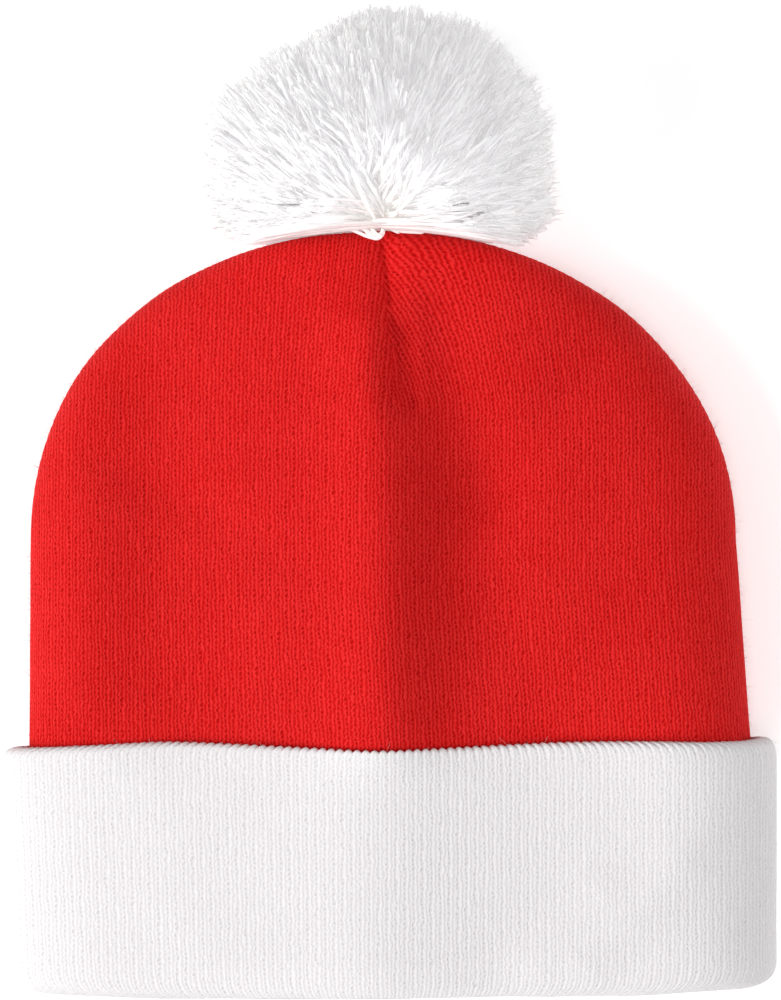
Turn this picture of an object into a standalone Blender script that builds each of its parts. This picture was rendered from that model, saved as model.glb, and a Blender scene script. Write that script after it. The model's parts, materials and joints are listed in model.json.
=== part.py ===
"""A knitted beanie in santa colours, lying on its back: red crown, white cuff, yarn pompom.

Metres, +Z up. The hat rests on the plane z = 0 with its front face upwards, +X runs
across the hat to the right as seen from above, and +Y from the mouth to the pompom.
"""

import math

import bmesh
import bpy
import numpy as np

MM = 0.001

# Driving sizes of the cuff
CUFF_WIDTH = 220.0 * MM
CUFF_HEIGHT = 70.9 * MM
CUFF_THICKNESS = 34.0 * MM
CUFF_EDGE_HEIGHT = 9.5 * MM
CUFF_CORNER_LOW = 7.0 * MM
CUFF_CORNER_TOP = 4.5 * MM
CUFF_TAPER_LEFT = 2.8 * MM
CUFF_LEG = 3.0 * MM
CUFF_EDGE_WAVE = 1.4 * MM
CUFF_MOUTH_DROP = 2.0 * MM

# Driving sizes of the crown
CROWN_WIDTH = 205.5 * MM
CROWN_LENGTH = 146.0 * MM
CROWN_THICKNESS = 37.0 * MM
CROWN_WALL = 3.0 * MM
CROWN_EDGE_HEIGHT = 6.5 * MM
DOME_HEIGHT = 87.3 * MM
DOME_WIDTH = 201.0 * MM
DOME_SHIFT = -2.0 * MM
DOME_ROUND_LEFT = 2.13
DOME_ROUND_RIGHT = 2.05
CUFF_LAP = 12.0 * MM
APEX_HEIGHT = 22.0 * MM
APEX_TOP = 29.0 * MM
APEX_UNDERSIDE = 17.0 * MM
APEX_PLUG = 5.0 * MM
FOLD_HEIGHT = 5.0 * MM
STRAIGHT_RUN = 12.0 * MM
SETTLE_RUN = 34.0 * MM
SHOULDER_SHARE = 0.55
LIFT_SHARE = 0.70
NOSE_SHARPNESS = 12

# Driving sizes of the pompom and its tie
POMPOM_WIDTH = 101.0 * MM
POMPOM_REACH = 47.0 * MM
POMPOM_DEPTH = 46.0 * MM
POMPOM_RISE = 17.0 * MM
POMPOM_SHIFT = -1.3 * MM
POMPOM_CENTRE_HEIGHT = 38.0 * MM
LOCK_RADIUS = 8.4 * MM
TIE_KNOT_RADIUS = 3.2 * MM
TIE_YARN_RADIUS = 1.2 * MM

# Named clearances
LAYER_GAP = 0.45 * MM
JOINT_GAP = 0.3 * MM
POMPOM_GAP = 0.4 * MM

# Shares and counts of the meshes
FRONT_ROUND = 2.2
FOLD_FADE = 6
BACK_ROUND_LIMIT = 0.5
EDGE_STATIONS = (1.0, 0.985, 0.95)
MIDDLE_STATIONS = 23
MIDDLE_SHARE = 0.89
CROWN_ROWS = 22
CAVITY_ROWS = 10
FIRST_RING = 0.03
CAVITY_END = 0.95
OUTLINE_POINTS = 160
OUTER_LEG_ROWS = 6
INNER_LEG_ROWS = 4
MOUTH_TURNS = (36.0, 72.0, 108.0, 144.0)
LIP_TURNS = (45.0, 90.0, 135.0)
CORE_SHARE = 0.72
LOCK_COUNT = 106
LOCK_SIDES = 6
LOWEST_LOCK = -0.56
LOCK_SCATTER = 0.05
LOCK_TRIM = (0.94, 1.03)
LOCK_SINK = 0.33
KNOT_SHAPE = (1.25, 0.75, 0.75)
STRAND_SIDES = 6
CLEARANCE_END = 0.75
CLEARANCE_ROWS = 14
TOOL_SPAN = 2.0
SHARP_ANGLE = 50.0
SEED = 11

# Folds of the front face. Across is a share of half the cuff's width, up is a share of
# the way from the mouth to the apex, spread a share of half the width, lift a share of
# FOLD_HEIGHT.
# name, across_a, up_a, across_b, up_b, spread, lift
FOLDS = (
    ("front ridge", -0.075, 0.93, -0.065, 0.02, 0.150, 0.80),
    ("valley right of the dart", 0.030, 0.86, 0.150, 0.58, 0.085, -0.95),
    ("end of the valley", 0.150, 0.58, 0.185, 0.45, 0.100, -0.40),
    ("swell on the right", 0.540, 0.80, 0.560, 0.36, 0.200, 0.45),
    ("dip inside the left edge", -0.680, 0.78, -0.690, 0.44, 0.080, -0.40),
    ("roll of the left edge", -0.860, 0.74, -0.870, 0.40, 0.070, 0.25),
    ("slanting crease on the left", -0.760, 0.71, -0.310, 0.59, 0.045, -0.22),
    ("slanting crease on the right", 0.540, 0.82, 0.130, 0.59, 0.050, -0.25),
    ("dart seam", -0.020, 0.985, 0.015, 0.79, 0.032, -0.45),
    ("first slack of the cuff", 0.510, 0.05, 0.740, 0.17, 0.050, 0.22),
    ("second slack of the cuff", 0.380, 0.05, 0.540, 0.13, 0.050, 0.18),
)

# One lock of yarn from its root in the core to its cut end: along as a share of the
# lock's length, width as a share of LOCK_RADIUS.
# along, width
LOCK_PROFILE = (
    (0.34, 0.50),
    (0.72, 0.92),
    (0.95, 1.00),
    (1.00, 0.72),
)

# Uneven trimming of the pompom. Each row is a direction from its centre, the spread of
# the dent or swell on the unit ball, and its size as a share of the reach.
# across, along, up, spread, swell
POMPOM_LUMPS = (
    (-0.55, 0.80, 0.15, 0.38, -0.075),
    (0.02, 0.98, 0.10, 0.30, 0.015),
    (0.72, 0.66, 0.20, 0.35, 0.035),
    (-0.88, 0.42, 0.20, 0.30, 0.020),
    (-0.30, 0.35, 0.88, 0.40, -0.030),
    (0.45, 0.20, 0.86, 0.40, 0.020),
)

# Yarn strands of the tie, over the crown's front beside its apex: each point is a share
# across the ring and a share of the way to the apex.
# strand, across, share
TIE_STRANDS = (
    ("left", -0.95, 0.935),
    ("left", -0.80, 0.945),
    ("left", -0.55, 0.960),
    ("left", -0.20, 0.970),
    ("left", 0.05, 0.968),
    ("right", -0.10, 0.968),
    ("right", 0.30, 0.965),
    ("right", 0.65, 0.950),
    ("right", 0.90, 0.930),
)
TIE_KNOT_SHARE = 0.968

# Waves of the cuff's two edges: across as a share of half the width, rise as a share of
# CUFF_EDGE_WAVE.
# across, top_rise, mouth_rise
EDGE_WAVES = (
    (-1.00, 0.0, 0.4),
    (-0.54, 0.9, -0.2),
    (-0.03, -0.4, 0.1),
    (0.58, 1.2, 0.5),
    (1.00, 0.0, 1.8),
)

RED_YARN = (0.72, 0.022, 0.022)
WHITE_YARN = (0.86, 0.84, 0.84)

MOUTH_Y = 0.0
CUFF_TOP_Y = MOUTH_Y + CUFF_HEIGHT
JUNCTION_Y = CUFF_TOP_Y - CUFF_LAP
APEX_Y = CUFF_TOP_Y + CROWN_LENGTH
DOME_Y = APEX_Y - DOME_HEIGHT
SMALLEST = 1e-6


def smooth(value, start, end):
    """0 before start, 1 after end, and an S-shaped step between them."""
    share = np.clip((value - start) / (end - start), 0.0, 1.0)
    return share * share * (3.0 - 2.0 * share)


def eased(place, places, values):
    """Values between rows of a table, with a level run through each row."""
    row = np.clip(np.searchsorted(places, place) - 1, 0, len(places) - 2)
    share = smooth(place, places[row], places[row + 1])
    return values[row] + (values[row + 1] - values[row]) * share


def fold_lift(x, y):
    """Height added to the front face at (x, y) by every row of FOLDS."""
    half = CUFF_WIDTH / 2
    length = APEX_Y - MOUTH_Y
    lift = np.zeros(np.broadcast(x, y).shape)
    for _name, across_a, up_a, across_b, up_b, spread, share in FOLDS:
        ax, ay = across_a * half, MOUTH_Y + up_a * length
        bx, by = across_b * half, MOUTH_Y + up_b * length
        run_x, run_y = bx - ax, by - ay
        along = ((x - ax) * run_x + (y - ay) * run_y) / (run_x ** 2 + run_y ** 2)
        along = np.clip(along, 0.0, 1.0)
        away = np.hypot(x - ax - along * run_x, y - ay - along * run_y)
        lift = lift + share * FOLD_HEIGHT * np.exp(-0.5 * (away / (spread * half)) ** 2)
    return lift


def stations():
    """Across shares, from the left edge over the front and back under the hat."""
    middle = np.linspace(-MIDDLE_SHARE, MIDDLE_SHARE, MIDDLE_STATIONS)
    edge = np.array(EDGE_STATIONS)
    front = np.concatenate((-edge, middle, edge[::-1]))
    back = front[-2:0:-1]
    across = np.concatenate((front, back))
    faces_up = np.concatenate((np.ones(len(front), bool), np.zeros(len(back), bool)))
    return across, faces_up


ACROSS, FACES_UP = stations()


def section_height(across, faces_up, half, edge_height, top, underside, depth):
    """Heights of one ring: a rounded rise over the front, a flat underside with round
    edges at the back. A layer at some depth is nested inside the outer one."""
    rise = top - edge_height - depth
    drop = edge_height - underside - depth
    size = np.abs(across)
    front = edge_height + rise * (1.0 - size ** FRONT_ROUND) ** (1.0 / FRONT_ROUND)
    radius = np.minimum(np.maximum(drop, SMALLEST), BACK_ROUND_LIMIT * half)
    inward = np.clip((1.0 - size) * half / radius, 0.0, 1.0)
    back = edge_height - drop * np.sqrt(1.0 - (1.0 - inward) ** 2)
    return np.where(faces_up, front, back)


def cuff_ring(y, depth, inner_leg):
    """One ring of the cuff at height y, some depth in from its outer face."""
    low = np.clip(1.0 - (y - MOUTH_Y) / CUFF_CORNER_LOW, 0.0, 1.0)
    high = np.clip(1.0 - (CUFF_TOP_Y - y) / CUFF_CORNER_TOP, 0.0, 1.0)
    corner = CUFF_CORNER_LOW * (1.0 - math.sqrt(1.0 - low ** 2))
    corner += CUFF_CORNER_TOP * (1.0 - math.sqrt(1.0 - high ** 2)) * (not inner_leg)
    up = (y - MOUTH_Y) / CUFF_HEIGHT
    half = CUFF_WIDTH / 2 - depth - corner
    left_half = half - CUFF_TAPER_LEFT * (1.0 - up)
    right_half = half
    if inner_leg:
        nested = CUFF_WIDTH / 2 - CUFF_LEG - LAYER_GAP
        slack = (nested - CROWN_WIDTH / 2) * smooth(y, MOUTH_Y, JUNCTION_Y)
        left_half = left_half - slack + CUFF_TAPER_LEFT * (1.0 - up) * up
        right_half = right_half - slack
    x = np.where(ACROSS < 0, ACROSS * left_half, ACROSS * right_half)
    sag = 1.0 - smooth(y, MOUTH_Y - CUFF_LEG, MOUTH_Y + CUFF_LAP)
    top = CUFF_THICKNESS - CUFF_MOUTH_DROP * sag
    mean_half = (left_half + right_half) / 2
    z = section_height(ACROSS, FACES_UP, mean_half, CUFF_EDGE_HEIGHT, top, 0.0, depth)
    across, top_rise, mouth_rise = np.array(EDGE_WAVES).T
    share = x / (CUFF_WIDTH / 2)
    drift = eased(share, across, top_rise) * smooth(y, JUNCTION_Y, CUFF_TOP_Y)
    drift = drift + eased(share, across, mouth_rise) * (1.0 - smooth(y, MOUTH_Y, JUNCTION_Y))
    y_ring = y + CUFF_EDGE_WAVE * drift
    z = z + FACES_UP * fold_lift(x, y_ring) * (1.0 - np.abs(ACROSS) ** FOLD_FADE)
    return np.column_stack((x, y_ring, z))


def crown_outline(depth, plug):
    """Left and right outline of the crown as dense points from the junction to the apex."""
    rise = np.linspace(0.0, math.pi / 2, OUTLINE_POINTS)
    outlines = []
    for side, roundness in ((-1.0, DOME_ROUND_LEFT), (1.0, DOME_ROUND_RIGHT)):
        dome_half = DOME_WIDTH / 2 - depth
        dome_x = DOME_SHIFT + side * dome_half * np.cos(rise) ** (2.0 / roundness)
        dome_y = DOME_Y + (DOME_HEIGHT - depth - plug) * np.sin(rise) ** (2.0 / roundness)
        tube_y = np.linspace(JUNCTION_Y, DOME_Y, OUTLINE_POINTS, endpoint=False)
        lean = np.clip((tube_y - CUFF_TOP_Y) / (DOME_Y - CUFF_TOP_Y), 0.0, 1.0)
        tube_x = side * (CROWN_WIDTH / 2 - depth) * (1.0 - lean) + dome_x[0] * lean
        points = np.column_stack((np.append(tube_x, dome_x), np.append(tube_y, dome_y)))
        outlines.append(points)
    return outlines


def at_share(points, share):
    """The point at a share of an outline's length, and that length."""
    run = np.hypot(*np.diff(points, axis=0).T)
    along = np.concatenate(([0.0], np.cumsum(run)))
    place = share * along[-1]
    return np.interp(place, along, points[:, 0]), np.interp(place, along, points[:, 1]), along[-1]


def crown_ring(share, depth, plug=0.0, roof=None, across=ACROSS, faces_up=FACES_UP):
    """One ring of the crown. Share runs from the junction in the cuff to the apex, and
    the rings dip under the apex, so that they close around it."""
    left_line, right_line = crown_outline(depth, plug)
    left_x, left_y, length = at_share(left_line, share)
    right_x, right_y, _length = at_share(right_line, share)
    free_y = CUFF_TOP_Y + STRAIGHT_RUN
    straight = (free_y - JUNCTION_Y) / length
    apex_y = left_line[-1][1]
    middle_y = np.interp(share, (0.0, straight, 1.0), (JUNCTION_Y, free_y, apex_y))
    half = (right_x - left_x) / 2
    x = (left_x + right_x) / 2 + across * half
    edge_y = left_y + (right_y - left_y) * (across + 1.0) / 2
    dip = (left_y + right_y) / 2 - middle_y
    y = edge_y - dip * (1.0 - across ** 2)

    out_of_cuff = smooth(middle_y, CUFF_TOP_Y, CUFF_TOP_Y + SETTLE_RUN)
    in_cuff_top = CUFF_THICKNESS - CUFF_LEG - LAYER_GAP
    top = in_cuff_top + (CROWN_THICKNESS - in_cuff_top) * out_of_cuff
    shoulder = smooth(share, SHOULDER_SHARE, 1.0)
    top = top + (APEX_TOP - CROWN_THICKNESS) * shoulder
    edge = CUFF_EDGE_HEIGHT + (CROWN_EDGE_HEIGHT - CUFF_EDGE_HEIGHT) * out_of_cuff
    edge = edge + (APEX_HEIGHT - CROWN_EDGE_HEIGHT) * shoulder
    underside = (CUFF_LEG + LAYER_GAP) * (1.0 - out_of_cuff)
    underside = underside + APEX_UNDERSIDE * smooth(share, LIFT_SHARE, 1.0)
    nose = math.sqrt(max(0.0, 1.0 - share ** NOSE_SHARPNESS))
    top = edge + (top - edge) * nose + depth * (1.0 - nose)
    underside = edge - (edge - underside) * nose - depth * (1.0 - nose)
    z = section_height(across, faces_up, half, edge, top, underside, depth)
    z = z + faces_up * fold_lift(x, y) * (1.0 - np.abs(across) ** FOLD_FADE) * nose
    if roof is not None:
        z = np.where(faces_up & (np.abs(across) < 1.0), roof, z)
    return np.column_stack((x, y, z))


def paint(obj, name, color, roughness):
    """Give an object its own Principled material."""
    material = bpy.data.materials.new(name)
    material.use_nodes = True
    shader = material.node_tree.nodes["Principled BSDF"]
    shader.inputs["Base Color"].default_value = (*color, 1.0)
    shader.inputs["Roughness"].default_value = roughness
    shader.inputs["Metallic"].default_value = 0.0
    obj.data.materials.clear()
    obj.data.materials.append(material)


def add_object(name, vertices, faces):
    """A mesh object whose faces all point out of it."""
    mesh = bpy.data.meshes.new(name)
    mesh.from_pydata([tuple(map(float, vertex)) for vertex in vertices], [], faces)
    shell = bmesh.new()
    shell.from_mesh(mesh)
    bmesh.ops.recalc_face_normals(shell, faces=shell.faces)
    shell.to_mesh(mesh)
    shell.free()
    obj = bpy.data.objects.new(name, mesh)
    bpy.context.scene.collection.objects.link(obj)
    return obj


def loft(name, rings, poles=None):
    """Skin a row of rings with the same number of points: closed to a torus without
    poles, or closed by a point before the first ring and one after the last."""
    count = len(rings[0])
    vertices = np.concatenate(rings)
    last = len(rings) if poles is None else len(rings) - 1
    faces = []
    for row in range(last):
        here = row * count
        there = (row + 1) % len(rings) * count
        for k in range(count):
            after = (k + 1) % count
            faces.append((here + k, here + after, there + after, there + k))
    if poles is not None:
        start, end = len(vertices), len(vertices) + 1
        vertices = np.concatenate((vertices, poles))
        base = (len(rings) - 1) * count
        for k in range(count):
            after = (k + 1) % count
            faces.append((start, after, k))
            faces.append((end, base + k, base + after))
    return add_object(name, vertices, faces)


def make_crown():
    """The crown's outer skin from apex to junction, its rim, and its hollow back up."""
    outer = 1.0 - np.linspace(FIRST_RING, 1.0, CROWN_ROWS)
    inner = np.linspace(0.0, CAVITY_END, CAVITY_ROWS)
    rings = [crown_ring(share, 0.0) for share in outer]
    rings += [crown_ring(share, CROWN_WALL, APEX_PLUG) for share in inner]
    poles = np.array([crown_ring(1.0, 0.0)[0], crown_ring(1.0, CROWN_WALL, APEX_PLUG)[0]])
    crown = loft("crown", rings, poles)
    paint(crown, "red_knit", RED_YARN, 0.9)
    return crown


def make_cuff():
    """The cuff's U section carried round the hat: outer leg, fold at the mouth, inner
    leg that ends at the crown, and back down the inside of the fold."""
    fold = CUFF_LEG + LAYER_GAP / 2
    full = 2.0 * fold
    leg_end = JUNCTION_Y - JOINT_GAP
    lip = CUFF_LEG / 2
    rows = []
    for y in np.linspace(CUFF_TOP_Y - lip, MOUTH_Y + fold, OUTER_LEG_ROWS):
        rows.append((y, 0.0, False))
    for turn in MOUTH_TURNS:
        angle = math.radians(turn)
        rows.append((MOUTH_Y + fold - fold * math.sin(angle), fold - fold * math.cos(angle), False))
    for y in np.linspace(MOUTH_Y + fold, leg_end, INNER_LEG_ROWS):
        rows.append((y, full, True))
    for y in np.linspace(leg_end, MOUTH_Y + fold, INNER_LEG_ROWS):
        rows.append((y, CUFF_LEG + LAYER_GAP, True))
    rows.append((MOUTH_Y + fold - LAYER_GAP / 2, fold, False))
    for y in np.linspace(MOUTH_Y + fold, CUFF_TOP_Y - lip, INNER_LEG_ROWS):
        rows.append((y, CUFF_LEG, False))
    for turn in LIP_TURNS:
        angle = math.radians(turn)
        rows.append((CUFF_TOP_Y - lip + lip * math.sin(angle), lip + lip * math.cos(angle), False))
    rings = [cuff_ring(y, depth, inner) for y, depth, inner in rows]
    cuff = loft("cuff", rings)
    paint(cuff, "white_knit", WHITE_YARN, 0.9)
    return cuff


def apply_boolean(obj, other, operation):
    """Run one exact Boolean on an object, keep its result and remove the tool."""
    modifier = obj.modifiers.new(operation.lower(), "BOOLEAN")
    modifier.operation = operation
    modifier.solver = "EXACT"
    modifier.use_self = operation == "UNION"
    modifier.object = other
    bpy.context.view_layer.update()
    graph = bpy.context.evaluated_depsgraph_get()
    result = bpy.data.meshes.new_from_object(obj.evaluated_get(graph))
    obj.modifiers.clear()
    old = obj.data
    obj.data = result
    bpy.data.meshes.remove(old)
    bpy.data.objects.remove(other)


def box_object(name, low, high):
    """A plain box between two corners."""
    sides = list(zip(low, high))
    corners = [(x, y, z) for z in sides[2] for y in sides[1] for x in sides[0]]
    faces = [(0, 1, 3, 2), (4, 6, 7, 5), (0, 4, 5, 1), (2, 3, 7, 6), (0, 2, 6, 4), (1, 5, 7, 3)]
    return add_object(name, corners, faces)


def pompom_centre():
    """The middle of the pompom's ball of yarn."""
    return np.array([DOME_SHIFT + POMPOM_SHIFT, APEX_Y + POMPOM_RISE, POMPOM_CENTRE_HEIGHT])


def pompom_reach(direction):
    """How far the yarn reaches from the centre along a direction: an oval, cut flat by
    the surface that the hat lies on."""
    radii = np.array([POMPOM_WIDTH / 2, POMPOM_REACH, POMPOM_DEPTH])
    reach = 1.0 / np.linalg.norm(direction / radii)
    for across, along, up, spread, swell in POMPOM_LUMPS:
        away = np.linalg.norm(direction - np.array((across, along, up)))
        reach *= 1.0 + swell * math.exp(-0.5 * (away / spread) ** 2)
    if direction[2] < 0.0:
        reach = min(reach, (POMPOM_CENTRE_HEIGHT + LOCK_SINK * LOCK_RADIUS) / -direction[2])
    return reach


def lock_mesh(direction, reach, spin):
    """Points and faces of one lock: a blunt tuft that swells and is cut off at its end."""
    upward = np.array([0.0, 0.0, 1.0]) if abs(direction[2]) < 0.9 else np.array([1.0, 0.0, 0.0])
    side = np.cross(direction, upward)
    side /= np.linalg.norm(side)
    other = np.cross(direction, side)
    angles = np.linspace(0.0, 2.0 * math.pi, LOCK_SIDES, endpoint=False) + spin
    circle = np.outer(np.cos(angles), side) + np.outer(np.sin(angles), other)
    rings = [direction * reach * along + circle * LOCK_RADIUS * wide for along, wide in LOCK_PROFILE]
    vertices = np.concatenate(rings)
    faces = [tuple(range(LOCK_SIDES))]
    for row in range(len(LOCK_PROFILE) - 1):
        for k in range(LOCK_SIDES):
            after = (k + 1) % LOCK_SIDES
            here = row * LOCK_SIDES
            faces.append((here + after, here + k, here + LOCK_SIDES + k, here + LOCK_SIDES + after))
    end = (len(LOCK_PROFILE) - 1) * LOCK_SIDES
    faces.append(tuple(range(end + LOCK_SIDES - 1, end - 1, -1)))
    return vertices, faces


def tube_rings(path, radius):
    """The rings of a round tube along a path, and the two end points that close it."""
    along = np.gradient(path, axis=0)
    along /= np.linalg.norm(along, axis=1)[:, None]
    side = np.cross(along, np.array([0.0, 0.0, 1.0]))
    side /= np.linalg.norm(side, axis=1)[:, None]
    other = np.cross(along, side)
    angles = np.linspace(0.0, 2.0 * math.pi, STRAND_SIDES, endpoint=False)
    rings = [p + radius * (np.outer(np.cos(angles), s) + np.outer(np.sin(angles), o))
             for p, s, o in zip(path, side, other)]
    return rings, np.array([path[0], path[-1]])


def make_tie(name, clearance):
    """The knot of yarn at the apex and its strands over the crown's edge."""
    def on_crown(across, share, lift):
        place = crown_ring(share, -lift, 0.0, None, np.array([across]), np.array([True]))
        return place[0]

    knot_lift = KNOT_SHAPE[2] * TIE_KNOT_RADIUS + JOINT_GAP
    centre = on_crown(0.0, TIE_KNOT_SHARE, knot_lift)
    ball = bmesh.new()
    bmesh.ops.create_icosphere(ball, subdivisions=2, radius=1.0)
    radii = np.array(KNOT_SHAPE) * TIE_KNOT_RADIUS + clearance
    for vertex in ball.verts:
        vertex.co = centre + radii * np.array(vertex.co)
    mesh = bpy.data.meshes.new(name)
    ball.to_mesh(mesh)
    ball.free()
    tie = bpy.data.objects.new(name, mesh)
    bpy.context.scene.collection.objects.link(tie)
    for strand in dict.fromkeys(row[0] for row in TIE_STRANDS):
        lift = TIE_YARN_RADIUS + JOINT_GAP
        points = [on_crown(across, share, lift) for side, across, share in TIE_STRANDS if side == strand]
        rings, ends = tube_rings(np.array(points), TIE_YARN_RADIUS + clearance)
        apply_boolean(tie, loft("strand", rings, ends), "UNION")
    paint(tie, "tie_yarn", WHITE_YARN, 0.95)
    return tie


def make_pompom():
    """A core with locks of yarn fused to it, cut clear of the crown and of the floor."""
    random = np.random.default_rng(SEED)
    centre = pompom_centre()
    radii = np.array([POMPOM_WIDTH / 2, POMPOM_REACH, POMPOM_DEPTH])
    core = bmesh.new()
    bmesh.ops.create_icosphere(core, subdivisions=2, radius=1.0)
    for vertex in core.verts:
        vertex.co = centre + CORE_SHARE * radii * np.array(vertex.co)
    mesh = bpy.data.meshes.new("pompom")
    core.to_mesh(mesh)
    core.free()
    pompom = bpy.data.objects.new("pompom", mesh)
    bpy.context.scene.collection.objects.link(pompom)

    golden = math.pi * (3.0 - math.sqrt(5.0))
    vertices, faces = [], []
    for k in range(LOCK_COUNT):
        up = 1.0 - 2.0 * (k + 0.5) / LOCK_COUNT
        round_part = math.sqrt(1.0 - up * up)
        direction = np.array([round_part * math.cos(golden * k), up, round_part * math.sin(golden * k)])
        direction += random.normal(0.0, LOCK_SCATTER, 3)
        direction /= np.linalg.norm(direction)
        length = pompom_reach(direction) * random.uniform(*LOCK_TRIM)
        spin = random.uniform(0.0, math.pi)
        if direction[1] < LOWEST_LOCK:
            continue
        points, sides = lock_mesh(direction, length, spin)
        base = sum(len(part) for part in vertices)
        vertices.append(points + centre)
        faces += [tuple(base + index for index in side) for side in sides]
    locks = add_object("locks", np.concatenate(vertices), faces)
    apply_boolean(pompom, locks, "UNION")

    roof = POMPOM_CENTRE_HEIGHT + 2.0 * POMPOM_DEPTH
    shares = 1.0 - np.linspace(FIRST_RING, CLEARANCE_END, CLEARANCE_ROWS)
    rings = [crown_ring(share, -POMPOM_GAP, 0.0, roof) for share in shares]
    ends = np.array([crown_ring(1.0, -POMPOM_GAP)[0], rings[-1].mean(axis=0)])
    keep_clear = loft("keep_clear", rings, ends)
    apply_boolean(pompom, keep_clear, "DIFFERENCE")
    apply_boolean(pompom, make_tie("tie_space", POMPOM_GAP), "DIFFERENCE")
    span = TOOL_SPAN * POMPOM_WIDTH
    floor_box = box_object("below_floor", centre - (span, span, span), (span, centre[1] + span, 0.0))
    apply_boolean(pompom, floor_box, "DIFFERENCE")
    paint(pompom, "white_yarn", WHITE_YARN, 0.95)
    return pompom


def remove_everything():
    """Clear the scene of its objects."""
    for obj in list(bpy.data.objects):
        bpy.data.objects.remove(obj)


def centre_on_origin(objects):
    """Move every mesh so that the hat's box stands on z = 0 around the origin."""
    points = np.array([vertex.co[:] for obj in objects for vertex in obj.data.vertices])
    low, high = points.min(axis=0), points.max(axis=0)
    shift = -(low + high) / 2
    for obj in objects:
        for vertex in obj.data.vertices:
            vertex.co.x += shift[0]
            vertex.co.y += shift[1]
    print("box", low, high, "shift", shift)


remove_everything()
hat = [make_crown(), make_cuff(), make_pompom(), make_tie("pompom_tie", 0.0)]
centre_on_origin(hat)
for piece in hat:
    piece.data.shade_smooth()
    piece.data.set_sharp_from_angle(angle=math.radians(SHARP_ANGLE))
    print(piece.name, len(piece.data.vertices), "points")
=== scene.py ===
# %% [markdown]
# # A knitted santa beanie, lying on its back
# The hat is four things: a red crown knitted as a tube and gathered at its top, a white
# cuff folded up over it, a white yarn pompom, and the yarn that ties the pompom on.
# Every piece below is a numpy surface or a bundle of numpy tubes laid over the CAD model,
# so first the CAD model is loaded as a fixed frame and its box is noted.

# %% Load the frame
import json
import math

import bmesh
import bpy
import numpy as np
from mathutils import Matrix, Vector

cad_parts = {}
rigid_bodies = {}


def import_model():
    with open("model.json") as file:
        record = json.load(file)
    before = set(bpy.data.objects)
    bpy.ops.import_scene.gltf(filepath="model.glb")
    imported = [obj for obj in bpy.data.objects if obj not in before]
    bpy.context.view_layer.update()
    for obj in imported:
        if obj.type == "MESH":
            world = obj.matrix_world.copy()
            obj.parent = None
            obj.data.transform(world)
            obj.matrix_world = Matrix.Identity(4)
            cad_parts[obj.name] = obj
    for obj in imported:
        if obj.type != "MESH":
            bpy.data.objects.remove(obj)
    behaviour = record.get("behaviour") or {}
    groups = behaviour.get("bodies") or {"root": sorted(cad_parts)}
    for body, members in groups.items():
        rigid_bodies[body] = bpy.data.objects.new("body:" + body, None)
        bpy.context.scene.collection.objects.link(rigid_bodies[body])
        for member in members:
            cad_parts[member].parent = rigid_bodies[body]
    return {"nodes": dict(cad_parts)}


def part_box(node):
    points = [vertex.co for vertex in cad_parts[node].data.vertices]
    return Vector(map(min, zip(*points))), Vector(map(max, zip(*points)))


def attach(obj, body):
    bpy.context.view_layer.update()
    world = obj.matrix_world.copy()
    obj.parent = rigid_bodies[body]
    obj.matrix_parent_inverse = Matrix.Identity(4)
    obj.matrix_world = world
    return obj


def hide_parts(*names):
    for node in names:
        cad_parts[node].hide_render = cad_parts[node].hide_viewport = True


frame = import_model()
for thing in list(bpy.data.objects):
    if thing.name not in frame["nodes"] and thing.type in ("MESH", "LIGHT", "CAMERA"):
        bpy.data.objects.remove(thing)
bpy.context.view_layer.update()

# %% [markdown]
# ## The hat's sizes
# The crown and the cuff follow the same formulas as the CAD model, so their driving sizes
# come first. They are in metres, with the hat's mouth at y = 0 and the pompom towards +y.
# Only the front differs: here it is a little flatter, and boxier on the right, with deeper
# folds, because that is how the light falls on the real knit. The CAD model is centred on
# the origin, so a shift taken from two of its boxes moves every finished point to its place.

# %% The hat's sizes
MM = 0.001
CUFF_WIDTH, CUFF_HEIGHT, CUFF_THICKNESS = 220.0 * MM, 70.9 * MM, 33.0 * MM
CUFF_EDGE_HEIGHT, CUFF_CORNER_LOW = 9.5 * MM, 7.0 * MM
CUFF_TAPER_LEFT, CUFF_LEG, CUFF_EDGE_WAVE, CUFF_MOUTH_DROP = 2.8 * MM, 3.0 * MM, 1.4 * MM, 2.0 * MM
CROWN_WIDTH, CROWN_LENGTH, CROWN_THICKNESS = 205.5 * MM, 146.0 * MM, 34.0 * MM
CROWN_WALL, CROWN_EDGE_HEIGHT = 3.0 * MM, 6.5 * MM
DOME_HEIGHT, DOME_WIDTH, DOME_SHIFT = 87.3 * MM, 201.0 * MM, -2.0 * MM
DOME_ROUND_LEFT, DOME_ROUND_RIGHT = 2.13, 2.05
CUFF_LAP, STRAIGHT_RUN, SETTLE_RUN = 12.0 * MM, 12.0 * MM, 34.0 * MM
APEX_HEIGHT, APEX_TOP, APEX_UNDERSIDE, APEX_PLUG = 22.0 * MM, 29.0 * MM, 17.0 * MM, 5.0 * MM
FOLD_HEIGHT, SHOULDER_SHARE, LIFT_SHARE, NOSE_SHARPNESS = 5.0 * MM, 0.55, 0.7, 12
FRONT_ROUND_LEFT, FRONT_ROUND_RIGHT, FOLD_FADE = 2.7, 4.0, 8
LAYER_GAP, JOINT_GAP = 0.45 * MM, 0.3 * MM
MOUTH_Y = 0.0
CUFF_TOP_Y = MOUTH_Y + CUFF_HEIGHT
JUNCTION_Y = CUFF_TOP_Y - CUFF_LAP
APEX_Y = CUFF_TOP_Y + CROWN_LENGTH
DOME_Y = APEX_Y - DOME_HEIGHT
SHIFT = np.array([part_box("cuff")[1].x - CUFF_WIDTH / 2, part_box("crown")[1].y - APEX_Y, 0.0])
print("shift to the CAD model's place", SHIFT)

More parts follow.
